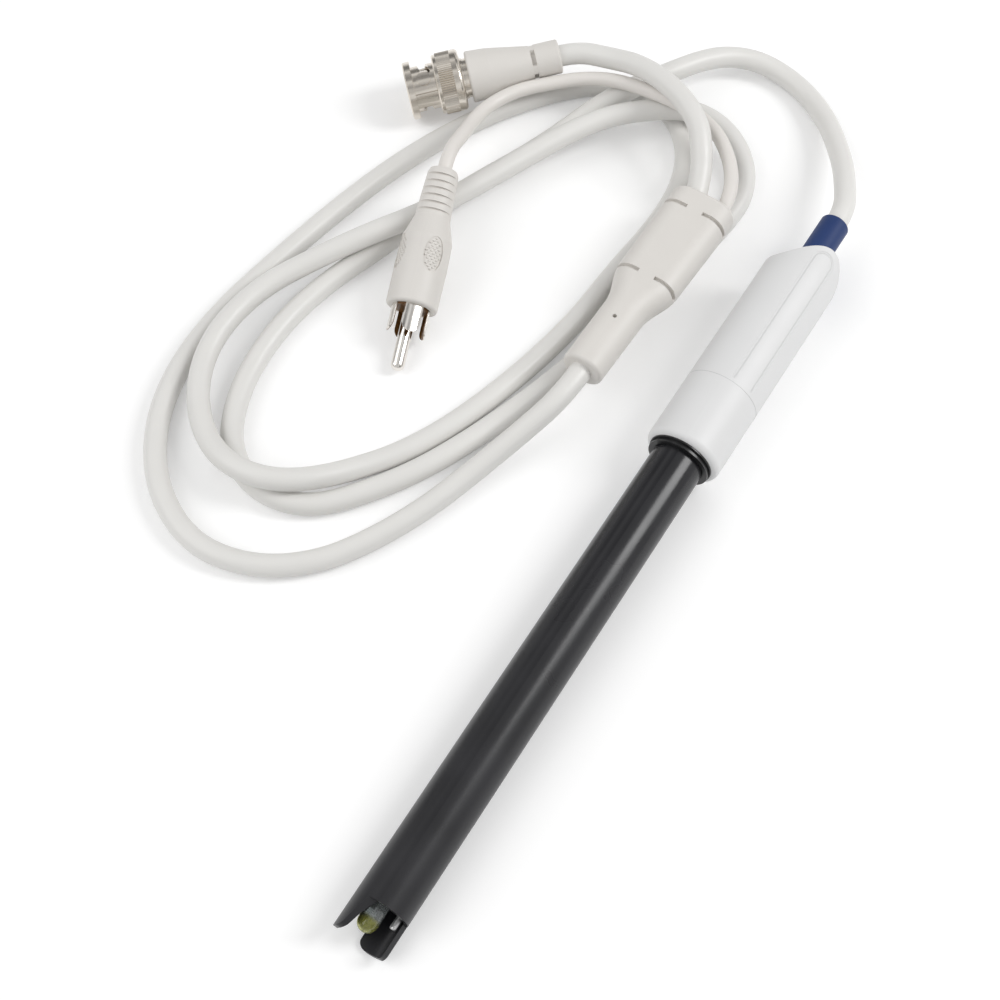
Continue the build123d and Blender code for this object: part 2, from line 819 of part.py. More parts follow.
def phono_pad(angle):
    """The shallow oval of one grip pad."""
    outline = radial_plane(angle) * Pos(0, pad_place) * Ellipse(pad_width / 2, pad_length / 2)
    solid = extrude(outline, amount=phono_belly_radius + overrun)
    return solid - bar(phono_flare_radius - pad_depth, 0, phono_length)


def rca_boot():
    """The moulded grip of the phono plug, with a ribbed cable end and four grip pads."""
    outline = Line((0, 0), (phono_back_radius, 0))
    outline += Line((phono_back_radius, 0), (phono_neck_radius, phono_neck_length))
    outline += Line((phono_neck_radius, phono_neck_length), (phono_grip_radius, phono_grip_length))
    outline += Line((phono_grip_radius, phono_grip_length), (phono_flare_radius, phono_flare_length))
    outline += Line((phono_flare_radius, phono_flare_length), (phono_belly_radius, phono_belly_length))
    outline += Line((phono_belly_radius, phono_belly_length), (phono_rim_radius, phono_length))
    outline += Polyline((phono_rim_radius, phono_length), (0, phono_length), (0, 0))
    boot = revolve(Plane.XZ * make_face(outline), Axis.Z)
    boot = fillet(boot.edges().group_by(Axis.Z)[-1], phono_rim_fillet)
    for groove in range(phono_grooves):
        boot -= phono_groove(phono_groove_first + groove * phono_groove_pitch)
    for pad in range(pad_count):
        boot -= phono_pad(phono_top_angle + pad_angle + 360 * pad / pad_count)
    return boot - bar(petal_radius + glue_gap, phono_length - petal_root, phono_length)


def rca_outer_contact():
    """The ring contact, cut into four round-ended petals."""
    end = phono_length + petal_length
    inner = petal_radius - petal_wall
    ring = tube(petal_radius, inner, phono_length - petal_root + glue_gap, phono_length - petal_root / 2)
    half = petal_radius * math.sin(math.radians(petal_spread))
    height = end - (phono_length - petal_root)
    for petal in range(petal_count):
        face = Rectangle(2 * half, height)
        face = fillet(face.vertices().group_by(Axis.Y)[-1], half - fine_gap)
        middle = phono_length - petal_root + glue_gap + height / 2
        plane = radial_plane(phono_top_angle + petal_angle + 360 * petal / petal_count)
        blade = extrude(plane * Pos(0, middle) * face, amount=petal_radius + overrun)
        ring += blade & tube(petal_radius, inner, phono_length - petal_root + glue_gap, end + overrun)
    return ring


def rca_insulator():
    """The insulator inside the ring contact."""
    end = phono_length + phono_insulator_proud
    body = bar(petal_radius - petal_wall - glue_gap, end - phono_insulator_length, end)
    return body - bar(phono_pin_tail_radius + glue_gap, 0, end)


def rca_pin():
    """The centre pin of the phono plug."""
    shoulder = phono_length + phono_insulator_proud + phono_pin_gap
    pin = bar(phono_pin_radius, shoulder, phono_length + phono_pin_length)
    pin = fillet(pin.edges().group_by(Axis.Z)[-1], phono_pin_tip_fillet)
    return pin + bar(phono_pin_tail_radius, phono_length - petal_root + glue_gap, shoulder)


# Straight runs at the ends of the cables
splitter_run_length = 8.5
relief_run_length = 7.5
bayonet_run_length = 4.8
cable_port_run_length = 5.8
phono_run_length = 5.4
thin_port_run_length = 4.7

# Cable routes, chosen by hand from the way the cables lie
main_route = [
    splitter_narrow_end, along(splitter_narrow_end, splitter_direction, -splitter_run_length),
    (12.4, 33.0, 6.6), (0.4, 37.5, 3.2), (-12, 41.2, 2.6), (-25, 46.6, 2.6), (-36.7, 53.8, 2.6),
    (-45.2, 65.1, 2.6), (-47.7, 79.6, 2.6), (-40.8, 94.1, 2.6), (-28.4, 104.2, 2.6),
    (-13.4, 109.3, 2.6), (3.6, 110.2, 2.6),
    (21.6, 107.9, 2.6), (40.8, 104.8, 2.6), (59.7, 100.6, 2.6), (76.7, 94.7, 2.6), (92.7, 86.6, 2.6),
    (105.8, 76.8, 2.6), (112.4, 67.5, 2.6), (113.7, 57.7, 2.6), (109.9, 48.4, 2.6), (101.9, 41.6, 2.6),
    (92.0, 38.1, 2.6), (79.0, 37.3, 2.6), (63.0, 38.8, 2.6), (46.0, 39.3, 2.6), (27.9, 42.3, 2.6),
    (9.9, 47.2, 2.6), (-4.1, 53.3, 2.6), (-14.6, 59.8, 4.2), (-22.7, 65.2, 7), (-28.0, 72.0, 8.2),
    (-29.7, 80.4, 8.2), (-27.2, 89.2, 6.4), (-20.8, 97.5, 5.6), (-11.3, 103.6, 6), (0.1, 105.9, 6.4),
    (13.6, 104.4, 6.2), (26.7, 98.3, 6.4), (38.2, 91.0, 8), (49.7, 84.2, 7.6), (63.9, 78.0, 7.4),
    (77.9, 72.4, 7.5), (90.8, 66.6, 8), (99.2, 61.2, 8.1), (105.8, 54.0, 8.1), (110.9, 46.2, 8.1),
    (111.4, 36.8, 6.6), (106.8, 28.6, 4.4), (98.6, 24.0, 2.9), (88.8, 24.0, 2.6), (75.0, 26.0, 2.6),
    (59.0, 28.8, 2.6), (43.0, 32.1, 2.6), (26.0, 36.1, 2.6), (8.9, 41.6, 2.6), (-7.1, 48.3, 2.6),
    (-20.4, 57.2, 2.6), (-26.8, 63.8, 2.6), (-29.3, 71.9, 2.6), (-27.9, 80.4, 2.6), (-22.6, 87.6, 2.6),
    (-14.3, 92.3, 2.6), (-4.3, 95.3, 2.6), (9.7, 96.4, 2.6), (24.7, 94.1, 2.6), (38.7, 89.6, 2.6),
    (52.7, 85.8, 2.6), (67.7, 80.4, 2.6), (80.8, 74.9, 2.6), (92.3, 71.0, 2.8), (101.3, 67.6, 4.6),
    (108.3, 62.2, 8.1), (117.4, 56.9, 8.1), (126.3, 52.3, 7.2), (132.9, 47.8, 5.6), (137.1, 41.0, 4.0),
    (137.4, 32.6, 2.6), (133.9, 24.3, 2.7), (128.2, 16.6, 4.0), (121.5, 10.0, 6.2), (114.4, 4.2, 8.9),
    along(relief_end, probe_direction, relief_run_length), relief_end,
]
bnc_route = [
    bayonet_back, along(bayonet_back, bayonet_direction, bayonet_run_length), (110.2, 69.0, 13.3),
    (110.0, 61.4, 15.7), (108.0, 53.6, 17.2), (104.9, 45.9, 17.6), (101.0, 39.4, 16.4), (96.3, 35.8, 14.1),
    along(cable_port, unit(cable_port_direction), cable_port_run_length), cable_port,
]
thin_route = [
    phono_back, along(phono_back, phono_direction, -phono_run_length), (69.2, 85.5, 15.2),
    (77.3, 87.6, 11.5), (84.8, 87.8, 9.5), (92.2, 84.7, 9.4), (99.1, 79.2, 8.8), (103.8, 73.2, 9.6),
    (105.9, 66.0, 11.6), (106.8, 57.8, 12.4), (107.2, 49.6, 12.7), (106.6, 42.6, 12.6), (104.6, 36.0, 12.1),
    (100.7, 30.9, 11.3), (96.0, 27.0, 10.7),
    along(thin_port, unit(thin_port_direction), thin_port_run_length), thin_port,
]
def cord(name, points, diameter):
    """A round cord along a route of straight runs and tangent arcs."""
    radii = corner_radii(points)
    path = FilletPolyline(*points, radius=radii)
    section = Plane(origin=path @ 0, z_dir=path % 0) * Circle(diameter / 2)
    solid = sweep(section, path=path)
    ideal = math.pi * diameter ** 2 / 4 * path.length
    print(name, "length", round(path.length, 1), "radii", [round(radius, 1) for radius in radii])
    print(name, "volume against section times length", round(solid.volume / ideal, 5))
    return solid


probe_pieces = {
    "shaft": shaft, "tip_plug": tip_plug, "glass_electrode": glass_electrode, "stem_stopper": stem_stopper,
    "silver_wire": silver_wire, "polymer_electrolyte": polymer_electrolyte,
    "reference_element": reference_element, "temperature_sensor": temperature_sensor,
    "shaft_plug": shaft_plug, "signal_lead": signal_lead, "reference_lead": reference_lead,
    "sensor_leads": sensor_leads, "collar_ring": collar_ring, "shaft_o_ring": shaft_o_ring,
    "head_sleeve": head_sleeve, "head_body": head_body, "strain_relief": strain_relief,
}
bayonet_pieces = {
    "bnc_nut": bnc_nut, "slip_washer": slip_washer, "wave_spring": wave_spring, "bnc_body": bnc_body,
    "bnc_outer_contact": bnc_outer_contact, "bnc_insulator": bnc_insulator, "bnc_pin": bnc_pin,
    "bnc_gasket": bnc_gasket, "bnc_ferrule": bnc_ferrule, "bnc_boot": bnc_boot,
}
phono_pieces = {
    "rca_boot": rca_boot, "rca_outer_contact": rca_outer_contact, "rca_insulator": rca_insulator,
    "rca_pin": rca_pin,
}


def write(name, piece):
    """Write one piece to its own file."""
    export_step(piece, "parts/" + name + ".step")


os.makedirs("parts", exist_ok=True)
groups = (
    (probe_place, probe_pieces),
    (bayonet_place, bayonet_pieces),
    (phono_place, phono_pieces),
)
for place, pieces in groups:
    for name, make in pieces.items():
        write(name, place * make())
write("splitter", splitter())
write("main_cable", cord("main_cable", main_route, cable_diameter))
write("bnc_cable", cord("bnc_cable", bnc_route, cable_diameter))
write("thin_cable", cord("thin_cable", thin_route, thin_diameter))
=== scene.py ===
import json
import math

import bpy
from mathutils import Matrix, Vector


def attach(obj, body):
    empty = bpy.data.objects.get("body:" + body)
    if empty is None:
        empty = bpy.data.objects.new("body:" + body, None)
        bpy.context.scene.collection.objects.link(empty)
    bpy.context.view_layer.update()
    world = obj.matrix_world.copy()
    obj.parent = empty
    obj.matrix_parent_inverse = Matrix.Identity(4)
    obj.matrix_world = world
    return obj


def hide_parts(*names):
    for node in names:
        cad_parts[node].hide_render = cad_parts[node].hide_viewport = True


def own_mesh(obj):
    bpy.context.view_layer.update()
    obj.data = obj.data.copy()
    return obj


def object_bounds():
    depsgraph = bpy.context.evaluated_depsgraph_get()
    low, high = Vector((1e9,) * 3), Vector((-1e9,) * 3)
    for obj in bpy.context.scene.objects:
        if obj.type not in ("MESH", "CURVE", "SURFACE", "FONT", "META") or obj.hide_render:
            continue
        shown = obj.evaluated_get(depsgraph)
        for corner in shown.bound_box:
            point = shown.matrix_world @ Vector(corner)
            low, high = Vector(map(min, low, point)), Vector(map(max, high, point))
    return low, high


# The pH electrode as it lies on a pale table, seen from above its glass tip.
# Everything is in the CAD frame. Sizes are written in millimetres and turned into metres by MM.

MM = 0.001

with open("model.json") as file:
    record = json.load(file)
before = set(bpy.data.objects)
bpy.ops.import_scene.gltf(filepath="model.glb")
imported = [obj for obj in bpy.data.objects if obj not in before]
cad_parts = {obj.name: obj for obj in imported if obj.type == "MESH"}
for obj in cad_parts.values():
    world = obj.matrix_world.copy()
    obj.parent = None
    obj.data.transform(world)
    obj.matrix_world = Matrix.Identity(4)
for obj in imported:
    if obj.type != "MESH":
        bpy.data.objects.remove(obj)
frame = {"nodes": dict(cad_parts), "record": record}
nodes = frame["nodes"]
cad_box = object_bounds()
scene = bpy.context.scene
scene.view_settings.view_transform = "Standard"


def metres(place):
    """A place in millimetres as a vector in metres."""
    return Vector(place) * MM


def along(place, direction, distance):
    """A place moved along a direction."""
    return tuple(a + b * distance for a, b in zip(place, direction))


def between(start, end):
    """The direction from one place to another."""
    return tuple((Vector(end) - Vector(start)).normalized())


# Places that the CAD model also uses
cable_diameter = 5.2
thin_diameter = 3.4
tip_middle = (-99.126, 0.0, 5.9985)
relief_end = (99.126, 0.0, 10.392)
probe_direction = between(tip_middle, relief_end)
splitter_narrow_end = (30.6, 29.3, 10.0)
splitter_wide_end = (84.8, 28.4, 10.0)
splitter_direction = between(splitter_narrow_end, splitter_wide_end)
cable_port = (86.2, 31.4, 10.0)
cable_port_direction = tuple(Vector((0.938, 0.278, 0.208)).normalized())
thin_port = (86.1, 24.1, 10.0)
thin_port_direction = tuple(Vector((0.990, 0.139, 0.035)).normalized())
bayonet_front = (79.43, 108.21, 7.0)
bayonet_back = (105.26, 80.34, 12.0)
bayonet_direction = between(bayonet_front, bayonet_back)
phono_back = (57.35, 82.91, 15.6)
phono_front = (26.4, 71.96, 6.15)
phono_direction = between(phono_back, phono_front)
seam_distance = 140.5
head_radius = 8.75

# Where the photograph shows the strain relief end, which is in front of the CAD model's end
shown_relief_length = 195.5
shown_relief_end = along(tip_middle, probe_direction, shown_relief_length)

# The head's plastic, which two materials share
head_white = (0.735, 0.735, 0.735)
head_roughness = 0.46
head_mottle = 0.006


# Materials
def node(tree, kind, **values):
    """A shader node with its settings and the values of its sockets."""
    made = tree.nodes.new(kind)
    for name, value in values.items():
        if isinstance(value, bpy.types.NodeSocket):
            tree.links.new(value, made.inputs[name.replace("_", " ")])
        elif name in made.bl_rna.properties:
            setattr(made, name, value)
        else:
            made.inputs[name.replace("_", " ")].default_value = value
    return made


def maths(tree, operation, first, second=0.0, clamp=False):
    """A Math node's result."""
    made = tree.nodes.new("ShaderNodeMath")
    made.operation = operation
    made.use_clamp = clamp
    for socket, value in zip(made.inputs, (first, second)):
        if isinstance(value, bpy.types.NodeSocket):
            tree.links.new(value, socket)
        else:
            socket.default_value = value
    return made.outputs[0]


def noise(tree, place, scale, detail=3.0):
    """A noise value over the surface."""
    made = node(tree, "ShaderNodeTexNoise", Scale=scale, Detail=detail, Vector=place)
    return made.outputs[0]


def spread(tree, value, low, high, new_low, new_high):
    """A value moved from one range to another."""
    made = tree.nodes.new("ShaderNodeMapRange")
    tree.links.new(value, made.inputs[0])
    for socket, number in zip(made.inputs[1:5], (low, high, new_low, new_high)):
        socket.default_value = number
    return made.outputs[0]


def varied(tree, value, low=0.0, high=1.0):
    """A noise value, which mostly lies near a half, spread over a range."""
    noise_low, noise_high = 0.3, 0.7
    return spread(tree, value, noise_low, noise_high, low, high)


def blended(tree, share, first, second):
    """Two colours mixed by a share."""
    made = tree.nodes.new("ShaderNodeMix")
    made.data_type = "RGBA"
    tree.links.new(share, made.inputs[0])
    for socket, colour in zip(made.inputs[6:8], (first, second)):
        if isinstance(colour, bpy.types.NodeSocket):
            tree.links.new(colour, socket)
        else:
            socket.default_value = (*colour, 1.0)
    return made.outputs[2]


def started(name):
    """A new material with a place on its surface and its main shader."""
    made = bpy.data.materials.new(name)
    made.use_nodes = True
    tree = made.node_tree
    shader = tree.nodes["Principled BSDF"]
    place = tree.nodes.new("ShaderNodeTexCoord").outputs["Object"]
    return made, tree, shader, place


def bumped(tree, shader, height, strength, distance):
    """Relief from a height on the surface."""
    made = node(tree, "ShaderNodeBump", Strength=strength, Distance=distance * MM, Height=height)
    tree.links.new(made.outputs[0], shader.inputs["Normal"])


def plain(name, colour, roughness, metallic=0.0, coat=0.0, mottle=0.03, grain=900.0, relief=0.02,
          **sockets):
    """A surface of one colour with slight mottling, uneven gloss and a fine grain."""
    broad_share, fine_share, gloss_spread = 1 / 9, 3, 0.1
    fine_detail, bump_strength = 2.0, 0.3
    made, tree, shader, place = started(name)
    broad = noise(tree, place, grain * broad_share)
    fine = noise(tree, place, grain * fine_share, fine_detail)
    darker = tuple(part * (1 - mottle) for part in colour)
    lighter = tuple(min(part * (1 + mottle), 1.0) for part in colour)
    tree.links.new(blended(tree, varied(tree, broad), darker, lighter), shader.inputs["Base Color"])
    gloss = varied(tree, broad, roughness * (1 - gloss_spread), roughness * (1 + gloss_spread))
    tree.links.new(gloss, shader.inputs["Roughness"])
    shader.inputs["Metallic"].default_value = metallic
    shader.inputs["Coat Weight"].default_value = coat
    for socket, value in sockets.items():
        shader.inputs[socket.replace("_", " ")].default_value = value
    bumped(tree, shader, fine, bump_strength, relief)
    return made


def run_along(tree, place, origin, direction):
    """How far a place on the surface lies along a line, in metres."""
    offset = node(tree, "ShaderNodeVectorMath", operation="SUBTRACT")
    tree.links.new(place, offset.inputs[0])
    offset.inputs[1].default_value = metres(origin)
    dot = node(tree, "ShaderNodeVectorMath", operation="DOT_PRODUCT")
    tree.links.new(offset.outputs[0], dot.inputs[0])
    dot.inputs[1].default_value = direction
    return dot.outputs["Value"]


def shaft_polymer():
    """Charcoal polymer: satin, with a faint drawn grain and a few tiny pale specks."""
    mottle_scale, grain_scale, grain_detail, speck_scale = 90.0, 2600.0, 2.0, 260.0
    speck_core, speck_edge, rare_start, rare_full = 0.05, 0.09, 0.82, 0.86
    polish_start, polish_end, polish = 20, 115, 0.12
    dark, light, pale = (0.013, 0.013, 0.015), (0.019, 0.019, 0.022), (0.07, 0.07, 0.075)
    made, tree, shader, place = started("shaft_polymer")
    broad = noise(tree, place, mottle_scale)
    fine = noise(tree, place, grain_scale, grain_detail)
    cells = node(tree, "ShaderNodeTexVoronoi", Scale=speck_scale, Randomness=1.0, Vector=place)
    near = spread(tree, cells.outputs["Distance"], speck_core, speck_edge, 1.0, 0.0)
    chosen = node(tree, "ShaderNodeSeparateColor", Color=cells.outputs["Color"])
    rare = spread(tree, chosen.outputs[0], rare_start, rare_full, 0.0, 1.0)
    speck = maths(tree, "MULTIPLY", near, rare)
    base = blended(tree, varied(tree, broad), dark, light)
    tree.links.new(blended(tree, speck, base, pale), shader.inputs["Base Color"])
    run = run_along(tree, place, tip_middle, probe_direction)
    polished = spread(tree, run, polish_start * MM, polish_end * MM, 0.0, polish)
    satin = varied(tree, broad, 0.32, 0.38)
    tree.links.new(maths(tree, "SUBTRACT", satin, polished), shader.inputs["Roughness"])
    shader.inputs["Specular IOR Level"].default_value = 0.4
    bumped(tree, shader, fine, 0.35, 0.01)
    return made


def sensor_glass():
    """Clear glass whose blown end is olive-yellow."""
    wave_scale, wave_height, gloss_scale = 500.0, 1.2, 300.0
    olive_end, clear_start = 4.9, 5.9
    clear, olive = (0.62, 0.66, 0.66), (0.52, 0.53, 0.17)
    made, tree, shader, place = started("sensor_glass")
    run = run_along(tree, place, tip_middle, probe_direction)
    wave = maths(tree, "MULTIPLY", noise(tree, place, wave_scale), wave_height * MM)
    blown = spread(tree, maths(tree, "ADD", run, wave), olive_end * MM, clear_start * MM, 1.0, 0.0)
    tree.links.new(blended(tree, blown, clear, olive), shader.inputs["Base Color"])
    gloss = varied(tree, noise(tree, place, gloss_scale), 0.02, 0.06)
    tree.links.new(gloss, shader.inputs["Roughness"])
    shader.inputs["IOR"].default_value = 1.5
    shader.inputs["Transmission Weight"].default_value = 0.8
    return made


def contact_metal():
    """Bright nickel outside and on the pin, with a painted reflection of the brown insulator inside the
    ring.
    """
    painted_reflection_radius, ring_radius, pin_radius, pin_clear = 4.2, 4.25, 1.8, 1.9
    painted_reflection_brown, nickel, gloss_scale = (0.16, 0.075, 0.02), (0.80, 0.77, 0.73), 240.0
    made, tree, shader, place = started("bright_nickel")
    offset = node(tree, "ShaderNodeVectorMath", operation="SUBTRACT")
    tree.links.new(place, offset.inputs[0])
    offset.inputs[1].default_value = metres(phono_back)
    crossed = node(tree, "ShaderNodeVectorMath", operation="CROSS_PRODUCT")
    tree.links.new(offset.outputs[0], crossed.inputs[0])
    crossed.inputs[1].default_value = phono_direction
    size = node(tree, "ShaderNodeVectorMath", operation="LENGTH")
    tree.links.new(crossed.outputs[0], size.inputs[0])
    radius = size.outputs["Value"]
    # Inside the ring the nickel carries a painted reflection of the brown insulator: brown colour and
    # less metal.
    outside = spread(tree, radius, painted_reflection_radius * MM, ring_radius * MM, 0.0, 1.0)
    pin = spread(tree, radius, pin_radius * MM, pin_clear * MM, 1.0, 0.0)
    nickel_share = maths(tree, "MAXIMUM", outside, pin)
    broad = noise(tree, place, gloss_scale)
    tree.links.new(blended(tree, nickel_share, painted_reflection_brown, nickel), shader.inputs["Base Color"])
    tree.links.new(spread(tree, nickel_share, 0.0, 1.0, 0.2, 1.0), shader.inputs["Metallic"])
    tree.links.new(varied(tree, broad, 0.14, 0.22), shader.inputs["Roughness"])
    return made


def field_direction(angle):
    """The direction out of the probe's axis at an angle from its top."""
    turn = math.radians(angle)
    up = (Vector((0, 0, 1)) - Vector(probe_direction) * probe_direction[2]).normalized()
    across = Vector(probe_direction).cross(up)
    return up * math.cos(turn) + across * math.sin(turn)


def field_plastic():
    """The head's plastic with the soft outline of its bare label field."""
    angle, half_width, front, back = 28.0, 2.6, 141.4, 181.5
    line_core, line_edge, line_depth, front_fade, bump_strength = 0.08, 0.38, 0.22, 0.4, 0.8
    made = plain("field_plastic", head_white, head_roughness, mottle=head_mottle)
    tree = made.node_tree
    place = tree.nodes.new("ShaderNodeTexCoord").outputs["Object"]
    run = run_along(tree, place, tip_middle, probe_direction)
    side = run_along(tree, place, tip_middle, field_direction(angle + 90))
    out = run_along(tree, place, tip_middle, field_direction(angle))
    beyond = maths(tree, "MAXIMUM", maths(tree, "SUBTRACT", run, (back - half_width) * MM), 0.0)
    squares = [maths(tree, "MULTIPLY", part, part) for part in (side, beyond)]
    reach = maths(tree, "SQRT", maths(tree, "ADD", *squares))
    off = maths(tree, "ABSOLUTE", maths(tree, "SUBTRACT", reach, half_width * MM))
    line = spread(tree, off, line_core * MM, line_edge * MM, 1.0, 0.0)
    behind_seam = spread(tree, run, front * MM, (front + front_fade) * MM, 0.0, 1.0)
    facing = spread(tree, out, 0.0, MM, 0.0, 1.0)
    line = maths(tree, "MULTIPLY", line, maths(tree, "MULTIPLY", behind_seam, facing))
    groove = maths(tree, "SUBTRACT", 0.0, line)
    bumped(tree, tree.nodes["Principled BSDF"], groove, bump_strength, line_depth)
    return made


looks = {
    "shaft_polymer": shaft_polymer(),
    "dark_polymer": plain("dark_polymer", (0.014, 0.014, 0.015), 0.3),
    "sensor_glass": sensor_glass(),
    "inner_rubber": plain("inner_rubber", (0.05, 0.05, 0.05), 0.7),
    "silver_metal": plain("silver_metal", (0.75, 0.74, 0.72), 0.3, metallic=1.0),
    "electrolyte": plain("electrolyte", (0.60, 0.58, 0.50), 0.3),
    "steel": plain("steel", (0.60, 0.60, 0.60), 0.35, metallic=1.0),
    "lead_insulation": plain("lead_insulation", (0.50, 0.12, 0.10), 0.4),
    "head_plastic": plain("head_plastic", head_white, head_roughness, mottle=head_mottle, relief=0.008),
    "field_plastic": field_plastic(),
    "seam": plain("seam", (0.56, 0.56, 0.56), 0.6),
    "navy_plastic": plain("navy_plastic", (0.020, 0.045, 0.150), 0.5, mottle=0.04,
                          Specular_IOR_Level=0.3),
    "cable_jacket": plain("cable_jacket", (0.765, 0.755, 0.73), 0.42, coat=0.08, mottle=0.01),
    "thin_jacket": plain("thin_jacket", (0.765, 0.735, 0.70), 0.42, coat=0.08, mottle=0.01),
    "cream_plastic": plain("cream_plastic", (0.715, 0.69, 0.655), 0.48, mottle=0.012, relief=0.03),
    "nickel": plain("nickel", (0.74, 0.69, 0.62), 0.2, metallic=1.0, mottle=0.05, relief=0.01),
    "bright_nickel": contact_metal(),
    "buffer": plain("buffer", (0.34, 0.34, 0.10), 0.25, mottle=0.25, grain=4000.0),
    "white_insulator": plain("white_insulator", (0.80, 0.80, 0.78), 0.4),
    "gold_pin": plain("gold_pin", (0.80, 0.62, 0.30), 0.22, metallic=1.0),
    "brown_insulator": plain("brown_insulator", (0.17, 0.08, 0.025), 0.4),
}

for part in frame["record"]["subparts"]:
    shown = nodes[part["node"]]
    look = looks[part["material_slot"]]
    if not shown.data.materials:
        shown.data.materials.append(look)
    for index in range(len(shown.data.materials)):
        shown.data.materials[index] = look


# Cables
def cord_piece(name, node_name, points, diameter, look, **facts):
    """A round cord along a smooth line, in place of its CAD tube."""
    curve = bpy.data.curves.new(name, "CURVE")
    curve.dimensions = "3D"
    spline = curve.splines.new("NURBS")
    spline.points.add(len(points) - 1)
    for point, place in zip(spline.points, points):
        point.co = (*metres(place), 1.0)
    spline.order_u = 3
    spline.use_endpoint_u = True
    spline.resolution_u = 12
    curve.bevel_depth = diameter / 2 * MM
    curve.bevel_resolution = 8
    curve.use_fill_caps = True
    curve.materials.append(look)
    piece = bpy.data.objects.new(name, curve)
    scene.collection.objects.link(piece)
    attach(piece, "electrode")
    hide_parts(node_name)
    return piece


main_points = [
    shown_relief_end, along(shown_relief_end, probe_direction, 5.0), (107.8, 3.1, 10.1),
    (115.0, 6.8, 7.8), (122.3, 11.8, 5.4), (128.9, 17.6, 3.8), (134.3, 24.6, 2.7), (137.4, 32.6, 2.6),
    (137.1, 41.0, 4.0), (132.9, 47.8, 5.6), (126.3, 52.3, 7.2), (117.4, 56.9, 8.1), (108.3, 62.2, 8.1),
    (101.3, 67.6, 4.6), (92.3, 71.0, 2.8), (80.8, 74.9, 2.6), (67.7, 80.4, 2.6), (52.7, 85.8, 2.6),
    (38.7, 89.6, 2.6), (24.7, 94.1, 2.6), (9.7, 96.4, 2.6), (-4.3, 95.3, 2.6), (-14.3, 92.3, 2.6),
    (-22.6, 87.6, 2.6), (-27.9, 80.4, 2.6), (-29.3, 71.9, 2.6), (-26.8, 63.8, 2.6), (-20.4, 57.2, 2.6),
    (-7.1, 48.3, 2.6), (8.9, 41.6, 2.6), (26.0, 36.1, 2.6), (43.0, 32.1, 2.6), (59.0, 28.8, 2.6),
    (75.0, 26.0, 2.6), (88.8, 24.0, 2.6), (98.6, 24.0, 2.9), (106.8, 28.6, 4.4), (111.4, 36.8, 6.6),
    (110.9, 46.2, 8.1), (105.8, 54.0, 8.1), (99.2, 61.2, 8.1), (90.8, 66.6, 8.0), (77.9, 72.4, 7.5),
    (63.9, 78.0, 7.4), (49.7, 84.2, 7.6), (38.2, 91.0, 8.0), (26.7, 98.3, 6.4), (13.6, 104.4, 6.2),
    (0.1, 105.9, 6.4), (-11.3, 103.6, 6.0), (-20.8, 97.5, 5.6), (-27.2, 89.2, 6.4), (-29.7, 80.4, 8.2),
    (-28.0, 72.0, 8.2), (-22.7, 65.2, 7.0), (-14.6, 59.8, 4.2), (-4.1, 53.3, 2.6), (9.9, 47.2, 2.6),
    (27.9, 42.3, 2.6), (46.0, 39.3, 2.6), (63.0, 38.8, 2.6), (79.0, 37.3, 2.6), (92.0, 38.1, 2.6),
    (101.9, 41.6, 2.6), (109.9, 48.4, 2.6), (113.7, 57.7, 2.6), (112.4, 67.5, 2.6), (105.8, 76.8, 2.6),
    (92.7, 86.6, 2.6), (76.7, 94.7, 2.6), (59.7, 100.6, 2.6), (40.8, 104.8, 2.6), (21.6, 107.9, 2.6),
    (3.6, 110.2, 2.6), (-13.4, 109.3, 2.6), (-28.4, 104.2, 2.6), (-40.8, 94.1, 2.6), (-47.7, 79.6, 2.6),
    (-45.2, 65.1, 2.6), (-36.7, 53.8, 2.6), (-25.0, 46.6, 2.6), (-12.0, 41.2, 2.6), (0.4, 37.5, 3.2),
    (12.4, 33.0, 6.6), along(splitter_narrow_end, splitter_direction, -8.5), splitter_narrow_end,
]
bnc_points = [
    cable_port, along(cable_port, cable_port_direction, 5.8), (96.3, 35.8, 14.1), (101.0, 39.4, 16.4),
    (104.9, 45.9, 17.6), (108.0, 53.6, 17.2), (110.0, 61.4, 15.7), (110.2, 69.0, 13.3),
    along(bayonet_back, bayonet_direction, 4.8), bayonet_back,
]
thin_points = [
    thin_port, along(thin_port, thin_port_direction, 4.7), (96.0, 27.0, 10.7), (100.7, 30.9, 11.3),
    (104.6, 36.0, 12.1), (106.6, 42.6, 12.6), (107.2, 49.6, 12.7), (106.8, 57.8, 12.4),
    (105.9, 66.0, 11.6), (103.8, 73.2, 9.6), (99.1, 79.2, 8.8), (92.2, 84.7, 9.4), (84.8, 87.8, 9.5),
    (77.3, 87.6, 11.5), (69.2, 85.5, 15.2), along(phono_back, phono_direction, -5.4), phono_back,
]
bayonet_parts = [name for name in nodes if name.startswith("bnc_") and name != "bnc_cable"]
bayonet_parts += ["slip_washer", "wave_spring"]
phono_parts = [name for name in nodes if name.startswith("rca_")]

cord_piece("main_cord", "main_cable", main_points, cable_diameter, looks["cable_jacket"],
           length=1.061, far_end="fitting", with_pieces=["splitter"])
cord_piece("bayonet_cord", "bnc_cable", bnc_points, cable_diameter, looks["cable_jacket"],
           length=0.063, far_end="connector", with_pieces=bayonet_parts)
cord_piece("phono_cord", "thin_cable", thin_points, thin_diameter, looks["thin_jacket"],
           length=0.115, far_end="plug", with_pieces=phono_parts)


# Pieces on the plug, in the glass and at the head
def turned_frame(origin, direction):
    """The frame whose Z runs along the direction and whose X is turned upwards, as CAD sets it."""
    z_axis = Vector(direction)
    x_axis = (Vector((0, 0, 1)) - z_axis * z_axis.z).normalized()
    y_axis = z_axis.cross(x_axis)
    turn = Matrix((x_axis, y_axis, z_axis)).transposed().to_4x4()
    return Matrix.Translation(metres(origin)) @ turn


def ring_place(radius, angle, height):
    """A place given by its radius, its angle about Z in degrees and its height."""
    turn = math.radians(angle)
    return metres((radius * math.cos(turn), radius * math.sin(turn), height))


